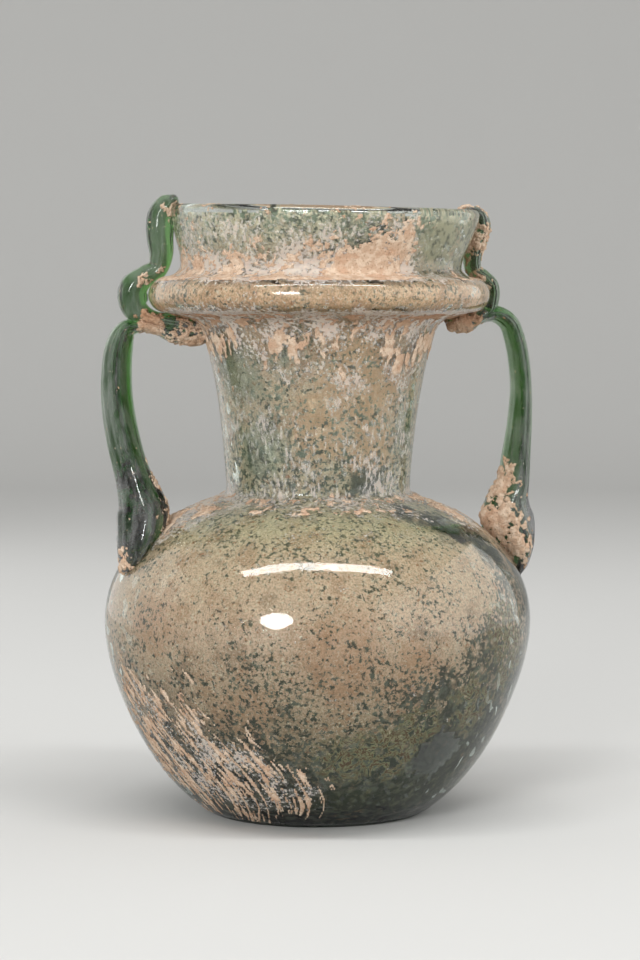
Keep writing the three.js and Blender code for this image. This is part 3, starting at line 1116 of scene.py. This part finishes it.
def buildStudio():
    # a pale floor that curves up all round, as a paper sweep does
    bpy.ops.object.select_all(action="DESELECT")
    bpy.ops.mesh.primitive_circle_add(vertices=96, radius=studio["floorRadius"] * mm, fill_type="NGON")
    floor = bpy.context.object
    floor.name = "pale_floor"
    bpy.ops.object.mode_set(mode="EDIT")
    bpy.ops.mesh.select_mode(type="EDGE")
    bpy.ops.mesh.select_all(action="SELECT")
    bpy.ops.mesh.region_to_loop()
    before = studio["floorRadius"]
    steps = 12
    for i in range(steps):
        turn = math.radians(90 * (i + 1) / steps)
        lastTurn = math.radians(90 * i / steps)
        after = studio["floorRadius"] + (studio["wallRadius"] - studio["floorRadius"]) * math.sin(turn)
        climb = studio["wallHeight"] * (math.cos(lastTurn) - math.cos(turn))
        bpy.ops.mesh.extrude_edges_move(TRANSFORM_OT_translate={"value": (0, 0, climb * mm)})
        bpy.ops.transform.resize(value=(after / before, after / before, 1), center_override=(0, 0, 0))
        before = after
    bpy.ops.object.mode_set(mode="OBJECT")
    bpy.ops.object.shade_smooth_by_angle(angle=math.radians(40))
    shade = studio["ground"]
    look = {"Roughness": 0.9, "Base Color": (shade, shade, shade * 0.98, 1), "Specular IOR Level": 0.2}
    material, tree, shader = startMaterial("pale paper", look)
    dress(floor, material)
    return floor


def aimed(piece, target):
    piece.rotation_euler = (Vector(target) * mm - piece.location).to_track_quat("-Z", "Y").to_euler()


def addLight(name, azimuth, elevation, distance, width, height, power, shape="RECTANGLE"):
    # azimuth is to the right of the camera's side, elevation is above the floor, sizes are in metres
    lamp = bpy.data.lights.new(name, "AREA")
    lamp.shape = shape
    lamp.size = width
    lamp.size_y = height
    lamp.energy = power
    light = bpy.data.objects.new(name, lamp)
    bpy.context.scene.collection.objects.link(light)
    side, up = math.radians(azimuth), math.radians(elevation)
    toCamera = Vector((-0.174, -0.985, 0))
    right = Vector((0.985, -0.174, 0))
    flat = toCamera * math.cos(side) + right * math.sin(side)
    light.location = (flat * math.cos(up) + Vector((0, 0, math.sin(up)))) * distance + Vector((0, 0, 0.06))
    aimed(light, (0, 0, 60))
    light.visible_camera = False
    return light


print("setting up the studio")
buildStudio()
world = bpy.data.worlds.new("soft daylight")
bpy.context.scene.world = world
world.use_nodes = True
world.node_tree.nodes["Background"].inputs["Color"].default_value = (1, 0.99, 0.97, 1)
world.node_tree.nodes["Background"].inputs["Strength"].default_value = studio["worldLight"]
addLight("key softbox", -22, 15, 1.2, 0.38, 0.38, 8, "ELLIPSE")
addLight("overhead strip", 0, 72, 1.1, 1.3, 0.13, 8)
rightPanel = addLight("right panel", 87, 15, 0.42, 0.95, 0.42, 1.5)
leftPanel = addLight("left panel", -122, 15, 0.5, 0.7, 0.42, 0.65)

camera = bpy.data.objects.new("camera", bpy.data.cameras.new("camera"))
bpy.context.scene.collection.objects.link(camera)
bpy.context.scene.camera = camera
camera.location = Vector((-92.7, -525.9, 101.45)) * mm
camera.data.sensor_width = 36
camera.data.lens = 101.9
camera.data.clip_start = 0.01
aimed(camera, (0.69, -0.12, 65.07))
bpy.context.scene.view_settings.view_transform = "Standard"

for piece in (vesselGlass, innerSoil, footDirtAndShade, leftHandle, rightHandle, *crusts):
    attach(piece, "root")
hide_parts("vessel")
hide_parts("left_handle")
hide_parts("right_handle")
